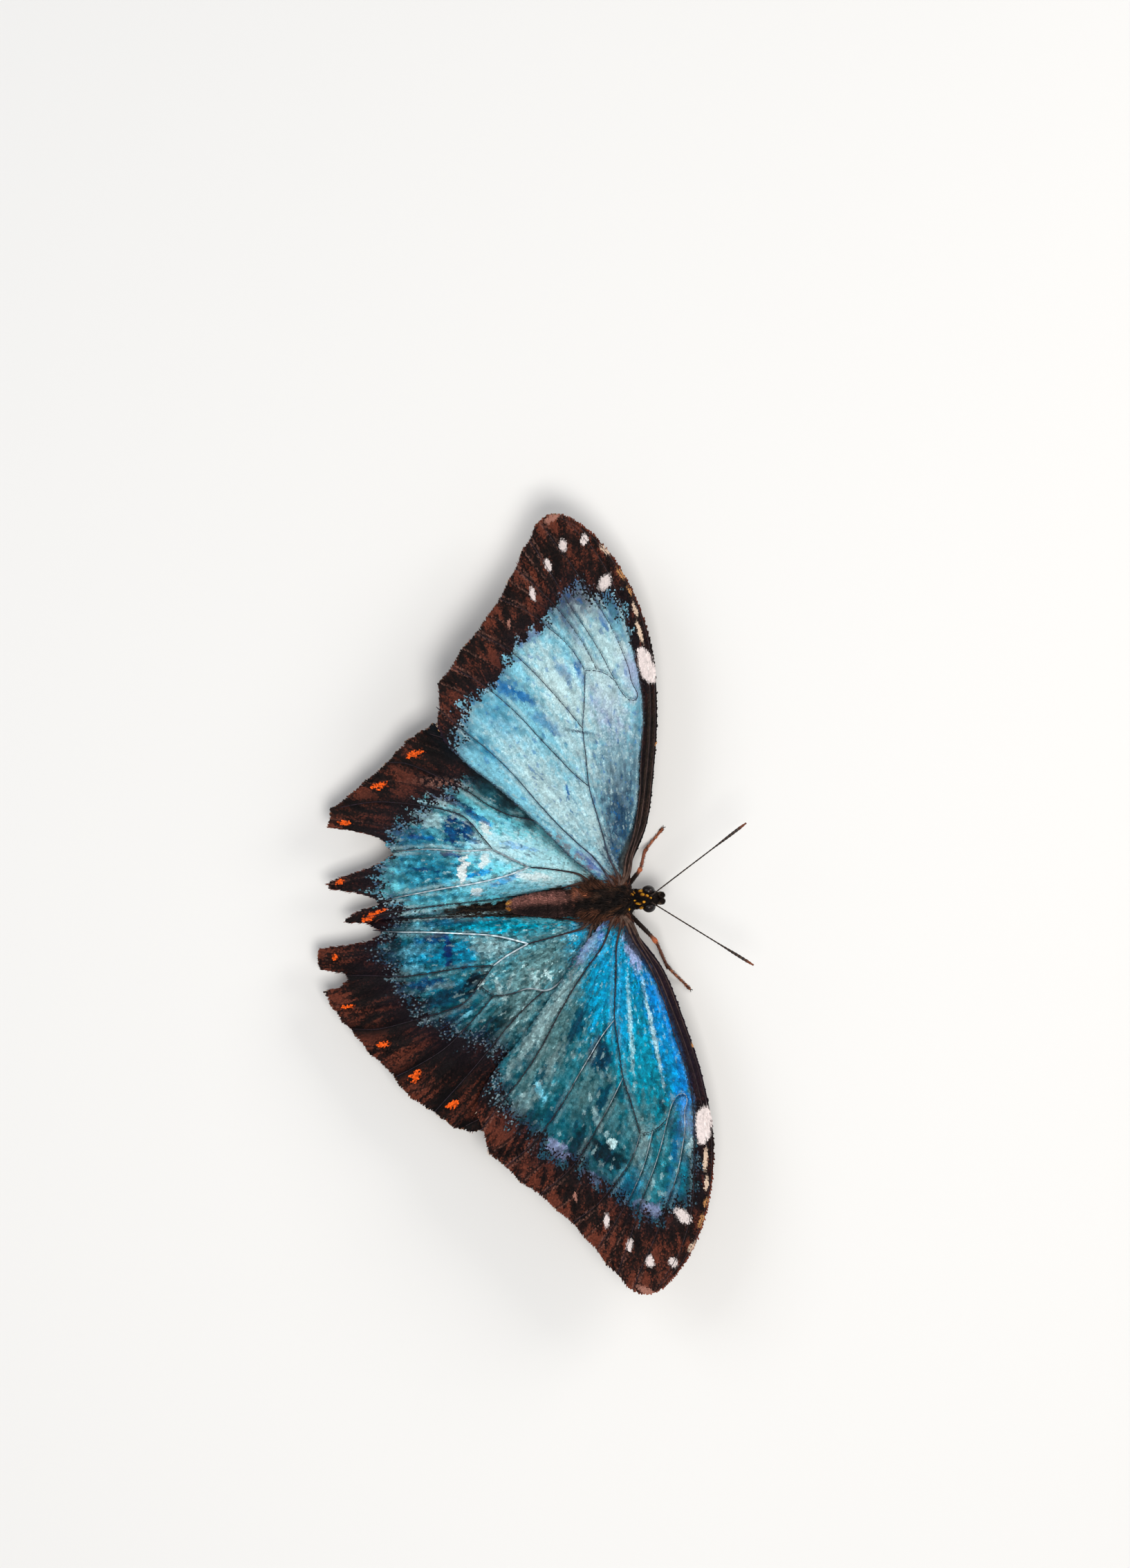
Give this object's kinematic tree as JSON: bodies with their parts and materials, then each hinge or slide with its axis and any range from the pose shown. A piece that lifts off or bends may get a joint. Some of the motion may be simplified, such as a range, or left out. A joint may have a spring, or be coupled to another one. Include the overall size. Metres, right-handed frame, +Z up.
{
  "type": "blue morpho butterfly",
  "caption": "Life-size still model of a blue butterfly with brown wing margins, wings spread flat, standing on its walking legs.",
  "frame": {"origin": "middle of the model's footprint box, on the floor that the feet stand on", "axes": "+X forwards along the body to the head, +Y to the animal's left, +Z up"},
  "size_m": [0.071, 0.1274, 0.014],
  "materials": {
    "wing": "iridescent blue scales with dark brown margins",
    "wing_scales": "separate overlapping scales in the wing's colours",
    "vein": "raised dark ribs",
    "body": "dark brown, covered with short hair",
    "fur": "short brown hair and ochre tufts",
    "eye": "glossy, finely faceted",
    "palp": "dark scaly",
    "tongue": "horny, satin",
    "antenna": "ringed, matt",
    "leg": "orange-brown, dark banded feet"
  },
  "bodies": {
    "root": {"forewing_left": "wing", "forewing_right": "wing", "hindwing_left": "wing", "hindwing_right": "wing", "thorax": "body", "abdomen": "body", "head": "body", "eye_left": "eye", "eye_right": "eye", "palp_left": "palp", "palp_right": "palp", "tongue": "tongue", "antenna_left": "antenna", "antenna_right": "antenna", "foreleg_left": "leg", "foreleg_right": "leg", "midleg_left": "leg", "midleg_right": "leg", "hindleg_left": "leg", "hindleg_right": "leg"}
  },
  "joints": []
}
